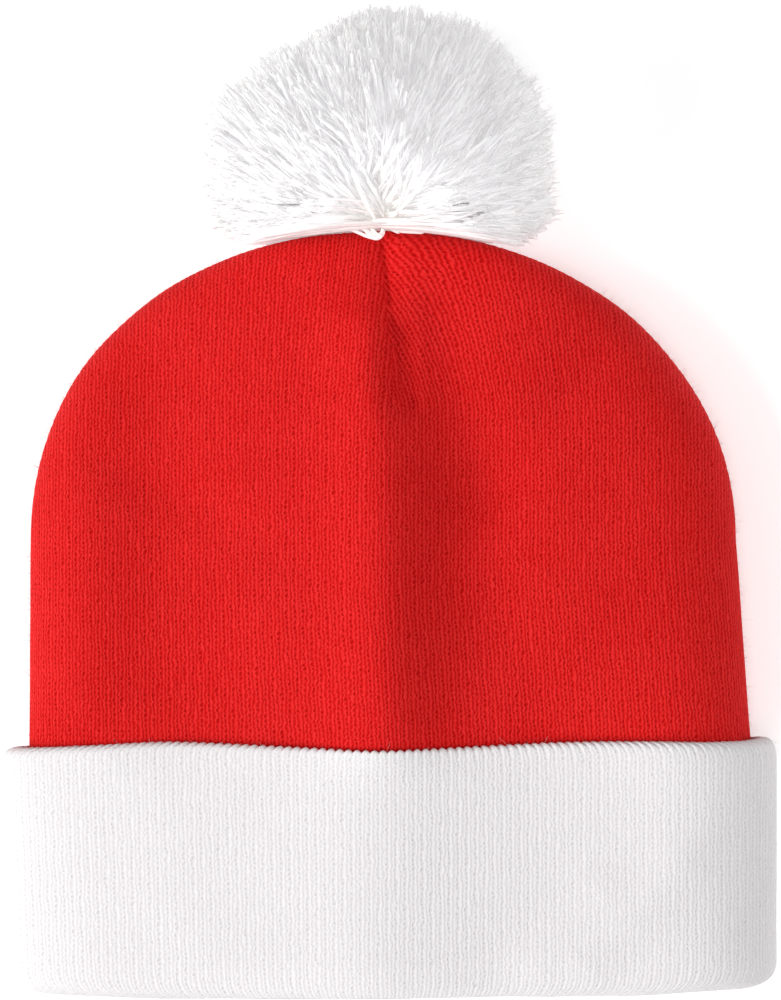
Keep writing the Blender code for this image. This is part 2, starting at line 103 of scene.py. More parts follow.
# %% Folds of the front face
# Each row: a name, across and up of one end, across and up of the other, spread, lift. The
# places are shares of the half width and of the length, the lift one of the fold height.
FOLDS = (
    ("belly of the front", 0.00, 0.84, 0.01, 0.05, 0.34, 0.5),
    ("front ridge", -0.035, 0.86, -0.02, 0.38, 0.092, 1.7),
    ("ridge under the cuff", -0.02, 0.36, -0.04, 0.03, 0.15, 0.55),
    ("valley right of the dart", 0.09, 0.85, 0.205, 0.67, 0.08, -0.8),
    ("end of the valley", 0.205, 0.67, 0.225, 0.5, 0.09, -0.6),
    ("swell on the right", 0.8, 0.74, 0.82, 0.36, 0.19, 0.6),
    ("dip inside the left edge", -0.57, 0.77, -0.53, 0.44, 0.135, -1.15),
    ("roll of the left edge", -0.81, 0.76, -0.82, 0.42, 0.085, 0.55),
    ("slanting crease on the left", -0.76, 0.71, -0.31, 0.59, 0.045, -0.22),
    ("slanting crease on the right", 0.54, 0.82, 0.13, 0.59, 0.05, -0.25),
    ("dart seam", -0.02, 0.985, 0.015, 0.79, 0.032, -0.45),
    ("right shoulder of the cuff", 0.84, 0.33, 0.86, 0.05, 0.17, 0.75),
    ("first slack of the cuff", 0.51, 0.05, 0.74, 0.17, 0.05, 0.22),
    ("second slack of the cuff", 0.38, 0.05, 0.54, 0.13, 0.05, 0.18),
)
# Fine ones, left to the outer face
FINE_FOLDS = (
    ("stitched dart, upper half", -0.02, 0.99, -0.004, 0.905, 0.007, -0.4),
    ("stitched dart, lower half", -0.002, 0.885, 0.014, 0.795, 0.0095, -0.52),
    ("step beside the dart", 0.026, 0.862, 0.046, 0.772, 0.022, -0.6),
    ("puff left of the dart", -0.06, 0.975, -0.03, 0.86, 0.03, 0.16),
    ("puff right of the dart", 0.03, 0.975, 0.075, 0.86, 0.034, 0.1),
    ("rumple over the left dip", -0.6, 0.86, -0.45, 0.7, 0.06, 0.1),
    ("rumple on the right", 0.3, 0.56, 0.42, 0.33, 0.06, -0.08),
    ("rumple low on the left", -0.42, 0.5, -0.33, 0.3, 0.06, -0.08),
)


def smooth(value, start, end):
    """0 before start, 1 after end, and between them 3 s^2 - 2 s^3 of the share s."""
    share = np.clip((value - start) / (end - start), 0.0, 1.0)
    return share * share * (3.0 - 2.0 * share)


def fold_lift(x, y, folds):
    """Height that folds add: each is a bell exp(-d^2 / 2) of the distance d, in spreads,
    from its line between two points, times its share of the fold height."""
    half, length = CUFF_WIDTH / 2, APEX_Y - MOUTH_Y
    lift = np.zeros(np.broadcast(x, y).shape)
    for _name, across_a, up_a, across_b, up_b, spread, share in folds:
        ax, ay, bx, by = across_a * half, up_a * length, across_b * half, up_b * length
        along = ((x - ax) * (bx - ax) + (y - ay) * (by - ay)) / ((bx - ax) ** 2 + (by - ay) ** 2)
        along = np.clip(along, 0.0, 1.0)
        away = np.hypot(x - ax - along * (bx - ax), y - ay - along * (by - ay))
        lift = lift + share * FOLD_HEIGHT * np.exp(-0.5 * (away / (spread * half)) ** 2)
    return lift


def section_height(across, faces_up, half, edge_height, top, underside, depth):
    """Height of a ring's point: the front rises by (1 - |a|^n)^(1/n) of its rise, and the
    back is a quarter circle at each edge and flat between."""
    rise, drop = top - edge_height - depth, edge_height - underside - depth
    size = np.minimum(np.abs(across), 1.0)
    power = np.where(across < 0, FRONT_ROUND_LEFT, FRONT_ROUND_RIGHT)
    front = edge_height + rise * (1.0 - size ** power) ** (1.0 / power)
    radius = np.minimum(np.maximum(drop, 1e-6), 0.5 * half)
    inward = np.clip((1.0 - size) * half / radius, 0.0, 1.0)
    back = edge_height - drop * np.sqrt(1.0 - (1.0 - inward) ** 2)
    return np.where(faces_up, front, back)


# %% [markdown]
# ## From arrays to meshes
# Blender takes a mesh fastest as flat arrays: every point, the point at each corner of
# each face, and the corner where each face starts. A closed skin also needs its faces
# turned outwards. Another helper spaces the rows of a grid evenly, because stitches are all
# the same length whatever the surface does.

# %% Mesh helpers
def raw_mesh(name, points, corners, starts, map_name, places):
    """A mesh from flat arrays, with a UV for each corner."""
    mesh = bpy.data.meshes.new(name)
    mesh.vertices.add(len(points))
    mesh.vertices.foreach_set("co", (points + SHIFT).astype(np.float32).ravel())
    mesh.loops.add(len(corners))
    mesh.loops.foreach_set("vertex_index", corners.astype(np.int32))
    mesh.polygons.add(len(starts))
    mesh.polygons.foreach_set("loop_start", starts.astype(np.int32))
    mesh.update(calc_edges=True)
    layer = mesh.uv_layers.new(name=map_name)
    layer.data.foreach_set("uv", places.astype(np.float32).ravel())
    return mesh


def turn_outwards(mesh):
    """Face every polygon of a closed mesh outwards."""
    shell = bmesh.new()
    shell.from_mesh(mesh)
    bmesh.ops.recalc_face_normals(shell, faces=shell.faces)
    shell.to_mesh(mesh)
    shell.free()


def smooth_piece(mesh):
    """Put a smoothly shaded mesh in the scene, under its own name."""
    mesh.shade_smooth()
    piece = bpy.data.objects.new(mesh.name, mesh)
    bpy.context.scene.collection.objects.link(piece)
    triangles = len(mesh.loops) - 2 * len(mesh.polygons)
    print(mesh.name, len(mesh.vertices), "points", triangles, "triangles")
    return piece


def knit_from_quads(name, points, quads, places):
    """A closed piece of knit from rows of quads, without the points that none uses."""
    used, index = np.unique(quads, return_inverse=True)
    starts = np.arange(0, quads.size, 4)
    mesh = raw_mesh(name, points[used], index.ravel(), starts, "stitches", places)
    turn_outwards(mesh)
    return smooth_piece(mesh)


def grid_quads(ids, places):
    """The quads between neighbours of a grid of point numbers, and their places."""
    low, high = slice(None, -1), slice(1, None)
    corners = (low, low), (high, low), (high, high), (low, high)
    quads = np.stack([ids[c] for c in corners], axis=-1).reshape(-1, 4)
    uvs = np.stack([places[c] for c in corners], axis=-2).reshape(-1, 4, 2)
    return quads, uvs


def lengths_along(points):
    """Distance from the first point of each line to each of its points."""
    steps = np.linalg.norm(np.diff(points, axis=1), axis=2)
    return np.concatenate((np.zeros((len(points), 1)), np.cumsum(steps, axis=1)), axis=1)


def even_rows(points, rows):
    """Each line of points again with its points at even distances."""
    run = lengths_along(points)
    wanted = np.linspace(0.0, 1.0, rows)
    return np.array([np.column_stack([np.interp(wanted * r[-1], r, axis) for axis in line.T])
                     for line, r in zip(points, run)])


def facing(points):
    """Unit normals of a grid, as the cross product of its two directions."""
    normal = np.cross(np.gradient(points, axis=0), np.gradient(points, axis=1))
    return normal / np.maximum(np.linalg.norm(normal, axis=2, keepdims=True), 1e-12)


# %% [markdown]
# ## The crown's surface
# A knitted tube has columns of stitches, the wales, that run straight up from the cuff
# and end where the top is closed. So the crown's grid isn't a fan of rings but a set of
# upright columns: each runs up the front, over the dome's outline and down the back. One
# column follows the seam of the dart. The wales beside the seam lean in and end at it, so
# the count of wales jumps there, and the stitch map has a cut along that column.

# %% The crown's formulas
WALE, COURSE = 2.27 * MM, 1.48 * MM
COLUMNS_PER_WALE = 4
DART_LOW_X, DART_TOP_X, DART_PULL_WIDTH = 1.65 * MM, -2.2 * MM, 14.0 * MM
DART_LOW_SHARE, DART_TOP_SHARE = 0.69, 0.978
DART_FOOT_Y, LEAN_START = APEX_Y - 52.0 * MM, 10.0 * MM
LEAN_LEFT, LEAN_RIGHT, LEAN_FADE_LEFT, LEAN_FADE_RIGHT = 0.2, 0.46, 22.0 * MM, 38.0 * MM


def crown_outline(depth, plug):
    """Left and right outline: a straight tube, then |x|^n + |y|^n = 1 for the dome."""
    rise = np.linspace(0.0, math.pi / 2, 400)
    lines = []
    for side, power in ((-1.0, DOME_ROUND_LEFT), (1.0, DOME_ROUND_RIGHT)):
        dome_x = DOME_SHIFT + side * (DOME_WIDTH / 2 - depth) * np.cos(rise) ** (2.0 / power)
        dome_y = DOME_Y + (DOME_HEIGHT - depth - plug) * np.sin(rise) ** (2.0 / power)
        tube_y = np.linspace(JUNCTION_Y, DOME_Y, 160, endpoint=False)
        lean = np.clip((tube_y - CUFF_TOP_Y) / (DOME_Y - CUFF_TOP_Y), 0.0, 1.0)
        tube_x = side * (CROWN_WIDTH / 2 - depth) * (1.0 - lean) + dome_x[0] * lean
        lines.append(np.column_stack((np.append(tube_x, dome_x), np.append(tube_y, dome_y))))
    return lines


class CrownSkin:
    """One layer of the crown, some depth inside its outer face."""

    def __init__(self, depth=0.0, plug=0.0):
        self.depth = depth
        self.left, self.right = crown_outline(depth, plug)
        self.runs = [np.concatenate(([0.0], np.cumsum(np.hypot(*np.diff(line, axis=0).T))))
                     for line in (self.left, self.right)]
        self.tube_share = np.interp(DOME_Y, self.left[:, 1], self.runs[0]) / self.runs[0][-1]

    def ends(self, share):
        """Left x, left y, right x and right y of the ring at a share of the outline."""
        found = []
        for line, run in zip((self.left, self.right), self.runs):
            found += [np.interp(share * run[-1], run, line[:, axis]) for axis in (0, 1)]
        return found

    def column_x(self, home, share):
        """A column's x: a fixed share of the tube's width, upright in the dome, and moved
        with the seam by a bell curve of its distance from it."""
        left_x, _ly, right_x, _ry = self.ends(np.minimum(share, self.tube_share))
        x = (left_x + right_x) / 2 + home * (right_x - left_x) / 2
        way = np.clip((share - DART_LOW_SHARE) / (DART_TOP_SHARE - DART_LOW_SHARE), 0.0, 1.0)
        away = (x - DART_LOW_X) / DART_PULL_WIDTH
        return x + (DART_TOP_X - DART_LOW_X) * way * np.exp(-away ** 2)

    def last_share(self, home):
        """The ring share at which each wale meets the outline, halving an interval."""
        low, high = np.full(home.shape, self.tube_share), np.ones(home.shape)
        for _step in range(40):
            middle = (low + high) / 2
            left_x, _ly, right_x, _ry = self.ends(middle)
            x = self.column_x(home, middle)
            inside = (x > left_x) & (x < right_x)
            low, high = np.where(inside, middle, low), np.where(inside, high, middle)
        return low

    def point(self, x, share, faces_up, folds=()):
        """The skin's point at x on the ring of a share, as the CAD model has it: the ring
        dips by (1 - a^2) under its ends, and top, edge and underside change with y."""
        left_x, left_y, right_x, right_y = self.ends(share)
        half = np.maximum((right_x - left_x) / 2, 1e-9)
        across = np.clip((x - (left_x + right_x) / 2) / half, -1.0, 1.0)
        free_y = CUFF_TOP_Y + STRAIGHT_RUN
        straight = (free_y - JUNCTION_Y) / self.runs[0][-1]
        middle_y = np.interp(share, (0.0, straight, 1.0), (JUNCTION_Y, free_y, self.left[-1, 1]))
        dip = (left_y + right_y) / 2 - middle_y
        y = left_y + (right_y - left_y) * (across + 1.0) / 2 - dip * (1.0 - across ** 2)

        free = smooth(middle_y, CUFF_TOP_Y, CUFF_TOP_Y + SETTLE_RUN)
        in_cuff = CUFF_THICKNESS - CUFF_LEG - LAYER_GAP
        shoulder = smooth(share, SHOULDER_SHARE, 1.0)
        top = in_cuff + (CROWN_THICKNESS - in_cuff) * free + (APEX_TOP - CROWN_THICKNESS) * shoulder
        edge = CUFF_EDGE_HEIGHT + (CROWN_EDGE_HEIGHT - CUFF_EDGE_HEIGHT) * free
        edge = edge + (APEX_HEIGHT - CROWN_EDGE_HEIGHT) * shoulder
        under = (CUFF_LEG + LAYER_GAP) * (1.0 - free) + APEX_UNDERSIDE * smooth(share, LIFT_SHARE, 1.0)
        nose = np.sqrt(np.maximum(0.0, 1.0 - share ** NOSE_SHARPNESS))
        top = edge + (top - edge) * nose + self.depth * (1.0 - nose)
        under = edge - (edge - under) * nose - self.depth * (1.0 - nose)
        z = section_height(across, faces_up, half, edge, top, under, self.depth)
        if faces_up:
            z = z + fold_lift(x, y, folds) * (1.0 - np.abs(across) ** FOLD_FADE) * nose
        return np.stack((x, y, z), axis=-1)

    def sheet(self, home, faces_up, rows, folds=()):
        """Columns of evenly spaced points from the cuff up to the outline."""
        last = self.last_share(home)[:, None]
        share = last * (1.0 - (1.0 - np.linspace(0.0, 1.0, 420)) ** 2.2)
        x = self.column_x(home[:, None], share)
        return even_rows(self.point(x, share, faces_up, folds), rows)


outer_skin = CrownSkin()
inner_skin = CrownSkin(CROWN_WALL, APEX_PLUG)

# %% Columns at even distances across the front
dense = np.linspace(-1.0, 1.0, 4001)
REFERENCE = 0.25
ring = outer_skin.point(outer_skin.column_x(dense, REFERENCE), REFERENCE, True)
ring_run = lengths_along(ring[None])[0]
front_wales = int(round(ring_run[-1] / WALE))
crown_columns = front_wales * COLUMNS_PER_WALE + 1
crown_home = np.interp(np.linspace(0.0, ring_run[-1], crown_columns), ring_run, dense)
seam_column = int(np.argmin(np.abs(outer_skin.column_x(crown_home, REFERENCE) - DART_LOW_X)))
print("front arc", ring_run[-1], "wales", front_wales, "columns", crown_columns)

# %% [markdown]
# ## Stitch relief
# Each wale is a raised double rib, with a deep groove to the next wale and a shallow one
# down its middle. Four columns of points a wale are enough to carry that in the mesh, and
# the shader adds the single stitches on top.

# %% Relief of the ribs
GROOVE, MIDDLE_GROOVE = 0.13 * MM, 0.03 * MM
CROWN_UNEVEN, CUFF_UNEVEN = 0.12 * MM, 0.14 * MM


def rib_relief(wale_count):
    """Depth below the surface: the groove's depth at whole wales, a little at half wales,
    and none on the two legs between."""
    phase = wale_count - np.floor(wale_count)
    between = np.cos(math.pi * phase) ** 2
    middle = np.sin(math.pi * phase) ** 2
    legs = np.sin(2.0 * math.pi * phase) ** 2
    return (GROOVE * between + MIDDLE_GROOVE * middle) * (1.0 - legs)


def wander(shape, size, seed):
    """Smooth random waves over a grid, between about -1 and 1: a sum of a few sines."""
    random = np.random.default_rng(seed)
    k, i = np.indices(shape)
    waves = np.zeros(shape)
    for _wave in range(14):
        turn, scale, start = (random.uniform(*ends) for ends in ((0, math.pi), (0.6, 1.6), (0, 6.3)))
        way = k * math.cos(turn) / size[0] + i * math.sin(turn) / size[1]
        waves += np.sin(way * scale + start)
    return waves / 5.3


def leaning_wales(sheet, wales):
    """Counts of wales left and right of the seam: a wale s to the side takes a point's
    place, where s is the lean added up from the dart's foot, and fades by exp(-d / fade)."""
    x, y = sheet[:, :, 0], sheet[:, :, 1]
    height = np.maximum(y - DART_FOOT_Y, 0.0)
    climb = height ** 2 / (height + LEAN_START)
    away = x - x[seam_column]
    left = wales - LEAN_LEFT * climb * np.exp(-np.maximum(-away, 0.0) / LEAN_FADE_LEFT) / WALE
    right = wales + LEAN_RIGHT * climb * np.exp(-np.maximum(away, 0.0) / LEAN_FADE_RIGHT) / WALE
    return left, right


# %% The crown's mesh
CROWN_ROWS, LINING_ROWS = 84, 14


def make_crown():
    """Outer front and back, rim and lining as blocks of one closed grid. The blocks share
    their side edges, the dome's outline and the rim, and the front is two blocks that
    share the seam's column."""
    wales = np.arange(crown_columns)[:, None] / COLUMNS_PER_WALE
    points, ids, blocks = [], {}, []
    layers = (("outer", outer_skin, CROWN_ROWS, FOLDS + FINE_FOLDS),
              ("inner", inner_skin, LINING_ROWS, FOLDS))
    for layer, skin, rows, folds in layers:
        for side, faces_up in (("front", True), ("back", False)):
            sign = 1.0 if faces_up else -1.0
            sheet = skin.sheet(crown_home, faces_up, rows, folds)
            run = lengths_along(sheet) / COURSE
            count = np.broadcast_to(wales, run.shape)
            left = right = count
            if layer == "outer" and faces_up:
                left, right = leaning_wales(sheet, count)
            if layer == "outer":
                bare = np.minimum(np.arange(crown_columns), np.arange(crown_columns)[::-1])
                window = smooth(bare, 0, 3)[:, None]
                normal = facing(sheet)
                normal *= np.sign(normal[crown_columns // 2, 2, 2]) * sign
                shown = np.where(np.arange(crown_columns)[:, None] < seam_column, left, right)
                relief = -rib_relief(shown) + CROWN_UNEVEN * wander(sheet.shape[:2], (7.0, 5.0), 3)
                sheet = sheet + normal * (relief * window)[:, :, None]
            start = sum(len(p) for p in points)
            grid = start + np.arange(crown_columns * rows).reshape(crown_columns, rows)
            points.append(sheet.reshape(-1, 3))
            if side == "back":
                front = ids[layer, "front"]
                grid[0], grid[-1], grid[:, -1] = front[0], front[-1], front[:, -1]
            ids[layer, side] = grid
            halves = (slice(None, seam_column + 1), left), (slice(seam_column, None), right)
            for part, shown in halves:
                places = np.stack((sign * shown, run), axis=-1)[part]
                blocks.append(grid_quads(grid[part], places))
            if layer == "inner":
                rim = np.stack((ids["outer", side][:, 0], grid[:, 0]), axis=1)
                rim_places = np.stack((places[:1, 0], places[:1, 0] + (0.0, 2.0)), axis=1)
                rim_places = rim_places + np.stack((sign * wales, 0.0 * wales), axis=-1)
                blocks.append(grid_quads(rim, rim_places))
    quads, places = (np.concatenate(part) for part in zip(*blocks))
    return knit_from_quads("crown_knit", np.concatenate(points), quads, places)


crown = make_crown()

# %% [markdown]
# ## The cuff's surface
# The cuff is one band folded back at the mouth, so its section is a U. The same section is
# carried round the hat. Its upper edge is a row of cast-off loops: each wale ends in a
# small round bump.

# %% The cuff's formulas
CUFF_WALE, CUFF_COURSE = 2.5 * MM, 1.39 * MM
CORNER_LEFT, CORNER_RIGHT = 3.2 * MM, 4.8 * MM
LOOP_RISE, LOOP_SWELL = 0.45 * MM, 0.3 * MM
EDGE_WAVES = np.array((
    (-1.00, -0.5, 0.4),
    (-0.54, 0.9, -0.2),
    (-0.03, -0.4, 0.1),
    (0.58, 1.2, 0.5),
    (0.9, 1.0, 1.5),
    (1.00, 2.0, 1.8),
))


def eased(place, column):
    """Values between rows of the edge waves, with a level run through each row."""
    rows = EDGE_WAVES[:, 0]
    row = np.clip(np.searchsorted(rows, place) - 1, 0, len(rows) - 2)
    share = smooth(place, rows[row], rows[row + 1])
    return EDGE_WAVES[row, column] + (EDGE_WAVES[row + 1, column] - EDGE_WAVES[row, column]) * share


def cuff_ring(way, y, depth, inner_leg):
    """A ring at height y. way goes 0 to 1 over the front and 1 to 2 back underneath."""
    faces_up = way <= 1.0
    across = np.where(faces_up, 2.0 * way - 1.0, 3.0 - 2.0 * way)
    low = np.clip(1.0 - (y - MOUTH_Y) / CUFF_CORNER_LOW, 0.0, 1.0)
    corner_low = CUFF_CORNER_LOW * (1.0 - math.sqrt(1.0 - low ** 2))
    corners = []
    for radius in (CORNER_LEFT, CORNER_RIGHT):
        high = np.clip(1.0 - (CUFF_TOP_Y - y) / radius, 0.0, 1.0)
        corners.append(corner_low + radius * (1.0 - math.sqrt(1.0 - high ** 2)) * (not inner_leg))
    up = (y - MOUTH_Y) / CUFF_HEIGHT
    half = CUFF_WIDTH / 2 - depth
    left_half = half - corners[0] - CUFF_TAPER_LEFT * (1.0 - up)
    right_half = half - corners[1]
    if inner_leg:
        slack = (CUFF_WIDTH - CROWN_WIDTH) / 2 - CUFF_LEG - LAYER_GAP
        slack = slack * smooth(y, MOUTH_Y, JUNCTION_Y)
        left_half = left_half - slack + CUFF_TAPER_LEFT * (1.0 - up) * up
        right_half = right_half - slack
    x = np.where(across < 0, across * left_half, across * right_half)
    sag = 1.0 - smooth(y, MOUTH_Y - CUFF_LEG, MOUTH_Y + CUFF_LAP)
    top = CUFF_THICKNESS - CUFF_MOUTH_DROP * sag
    half = (left_half + right_half) / 2
    z = section_height(across, faces_up, half, CUFF_EDGE_HEIGHT, top, 0.0, depth)
    share = x / (CUFF_WIDTH / 2)
    drift = eased(share, 1) * smooth(y, JUNCTION_Y, CUFF_TOP_Y)
    drift = drift + eased(share, 2) * (1.0 - smooth(y, MOUTH_Y, JUNCTION_Y))
    y_ring = y + CUFF_EDGE_WAVE * drift
    z = z + faces_up * fold_lift(x, y_ring, FOLDS) * (1.0 - np.abs(across) ** FOLD_FADE)
    return np.column_stack((x, y_ring, z))


# %% The cuff's mesh
def cuff_section():
    """Rows of the U: height, depth below the outer face, whether it is on the inner leg,
    and 1 where the knit shows."""
    fold, lip = CUFF_LEG + LAYER_GAP / 2, CUFF_LEG / 2
    leg_end = JUNCTION_Y - JOINT_GAP
    rows = [(y, 0.0, False, 1.0) for y in np.linspace(CUFF_TOP_Y - lip, MOUTH_Y + fold, 56)]
    for angle in np.radians(np.arange(15.0, 166.0, 15.0)):
        y = MOUTH_Y + fold - fold * math.sin(angle)
        rows.append((y, fold - fold * math.cos(angle), False, 1.0))
    rows += [(y, 2.0 * fold, True, 1.0) for y in np.linspace(MOUTH_Y + fold, leg_end, 14)]
    rows += [(y, CUFF_LEG + LAYER_GAP, True, 0.0) for y in np.linspace(leg_end, MOUTH_Y + fold, 4)]
    rows.append((MOUTH_Y + fold - LAYER_GAP / 2, fold, False, 0.0))
    rows += [(y, CUFF_LEG, False, 0.0) for y in np.linspace(MOUTH_Y + fold, CUFF_TOP_Y - lip, 4)]
    for angle in np.radians((30.0, 60.0, 90.0, 120.0, 150.0)):
        y = CUFF_TOP_Y - lip + lip * math.sin(angle)
        rows.append((y, lip + lip * math.cos(angle), False, 1.0))
    return rows


def make_cuff():
    """The U's rows times even steps round the ring, with ribs and cast-off loops."""
    dense_way = np.linspace(0.0, 2.0, 8001)
    middle = cuff_ring(dense_way, MOUTH_Y + CUFF_HEIGHT / 2, 0.0, False)
    run = lengths_along(middle[None])[0]
    wales = int(round(run[-1] / CUFF_WALE))
    columns = wales * COLUMNS_PER_WALE
    way = np.interp(np.arange(columns) / columns * run[-1], run, dense_way)
    rows = cuff_section()
    points = np.stack([cuff_ring(way, *row[:3]) for row in rows], axis=1)
    closed = np.pad(points, ((1, 1), (1, 1), (0, 0)), mode="wrap")
    normal = facing(closed)[1:-1, 1:-1]
    normal *= np.sign(normal[columns // 4, 20, 2])
    count = np.arange(columns) / COLUMNS_PER_WALE
    knit = np.array([row[3] for row in rows])
    height = np.array([row[0] for row in rows])
    bump = 0.5 - 0.5 * np.cos(2.0 * math.pi * count)
    near_edge = smooth(height, CUFF_TOP_Y - 2.6 * MM, CUFF_TOP_Y - 0.8 * MM) * knit
    relief = -rib_relief(count)[:, None] * knit * (1.0 - 0.6 * near_edge)
    relief = relief + LOOP_SWELL * (bump[:, None] - 0.4) * near_edge
    relief = relief + CUFF_UNEVEN * wander(points.shape[:2], (9.0, 6.0), 5) * knit
    points = points + normal * relief[:, :, None]
    points[:, :, 1] += LOOP_RISE * (bump[:, None] ** 0.7 - 0.5) * near_edge
    along = lengths_along(points)
    ids = np.arange(points.shape[0] * points.shape[1]).reshape(points.shape[:2])
    ids = np.pad(ids, ((0, 1), (0, 1)), mode="wrap")
    u = np.arange(columns + 1) / COLUMNS_PER_WALE
    v = np.append(along.mean(axis=0), along.mean(axis=0)[-1] + CUFF_LEG / 4) / CUFF_COURSE
    places = np.stack(np.broadcast_arrays(u[:, None], -v), axis=-1)
    quads, uvs = grid_quads(ids, places)
    print("cuff", wales, "wales", len(rows), "rows")
    return knit_from_quads("cuff_knit", points.reshape(-1, 3), quads, uvs)


cuff = make_cuff()

# %% [markdown]
# ## Shader maths on paper
# A material's pattern is arithmetic on the place of a point. Wrapping a node's socket in a
# small class lets that arithmetic be written as Python expressions, and each operator adds
# the Math node that does it.

# %% A socket that can be calculated with
def add_node(tree, kind, settings=None, inputs=None, output=0):
    """Add a node, set its settings, fill or link its inputs, and wrap one output."""
    node = tree.nodes.new(kind)
    for key, value in (settings or {}).items():
        setattr(node, key, value)
    for key, value in (inputs or {}).items():
        if isinstance(value, Wire):
            tree.links.new(value.socket, node.inputs[key])
        else:
            node.inputs[key].default_value = value
    return Wire(tree, node.outputs[output])


class Wire:
    """A value that runs through a material's nodes."""

    def __init__(self, tree, socket):
        self.tree, self.socket = tree, socket

    def maths(self, operation, *terms):
        """A Math node of this operation on these terms."""
        return add_node(self.tree, "ShaderNodeMath", {"operation": operation}, dict(enumerate(terms)))

    def __add__(self, other): return self.maths("ADD", self, other)
    def __radd__(self, other): return self.maths("ADD", other, self)
    def __sub__(self, other): return self.maths("SUBTRACT", self, other)
    def __rsub__(self, other): return self.maths("SUBTRACT", other, self)
    def __mul__(self, other): return self.maths("MULTIPLY", self, other)
    def __pow__(self, other): return self.maths("POWER", self, other)

    def sine(self): return self.maths("SINE", self)
    def size(self): return self.maths("ABSOLUTE", self)
    def part(self): return self.maths("FRACT", self)
    def whole(self): return self.maths("FLOOR", self)

    def between(self, low, high):
        """0 below low, 1 above high, smooth between."""
        return add_node(self.tree, "ShaderNodeMapRange", {"interpolation_type": "SMOOTHSTEP"},
                        {"Value": self, "From Min": low, "From Max": high})

    def colour(self, hole_shade, light):
        """The colour between two colours at this share."""
        ends = [(*end, 1.0) if isinstance(end, tuple) else end for end in (hole_shade, light)]
        return add_node(self.tree, "ShaderNodeMix", {"data_type": "RGBA"},
                        {0: self, 6: ends[0], 7: ends[1]}, output=2)


def new_material(name, roughness, constants):
    """A Principled material with its constants, and its tree."""
    material = bpy.data.materials.new(name)
    material.use_nodes = True
    shader = material.node_tree.nodes["Principled BSDF"]
    constants = {"Roughness": roughness, "Specular IOR Level": 0.12, **constants}
    for key, value in constants.items():
        shader.inputs[key].default_value = value
    return material, material.node_tree, shader


def paint(piece, name, roughness, colour, constants=None):
    """Give a piece a plain material of one colour."""
    constants = {"Base Color": (*colour, 1.0), **(constants or {})}
    piece.data.materials.append(new_material(name, roughness, constants)[0])


def map_of(tree, name):
    """The two values of a mesh's own map."""
    place = add_node(tree, "ShaderNodeUVMap", {"uv_map": name})
    split = add_node(tree, "ShaderNodeSeparateXYZ", None, {0: place}).socket.node
    return Wire(tree, split.outputs[0]), Wire(tree, split.outputs[1])


def vector_of(tree, x, y, z=0.0):
    """Three values as one vector."""
    return add_node(tree, "ShaderNodeCombineXYZ", None, {0: x, 1: y, 2: z})


def noise(tree, x, y, z=0.0, detail=2.0):
    """Noise between 0 and 1 over three values."""
    return add_node(tree, "ShaderNodeTexNoise", None,
                    {"Vector": vector_of(tree, x, y, z), "Scale": 1.0, "Detail": detail})


def wire_up(tree, shader, colour, height, strength, depth):
    """Feed the shader its colour, and its normal from a relief of some depth."""
    bump = add_node(tree, "ShaderNodeBump", None,
                    {"Strength": strength, "Distance": depth, "Height": height})
    tree.links.new(colour.socket, shader.inputs["Base Color"])
    tree.links.new(bump.socket, shader.inputs["Normal"])


# %% [markdown]
# ## Knit
# Stocking stitch seen from its right side is a column of small letters V. From a little
# way off each wale shows as two bright, slightly wavy legs with a faint line between them,
# and between two wales there is one dark hole in every course. The stitch map counts wales
# and courses, so waves in each of them draw the legs and the holes. The same height makes
# the relief and also the colour, as painted light: lighter on the raised legs, a painted
# highlight, and darker in the holes, a painted shade.

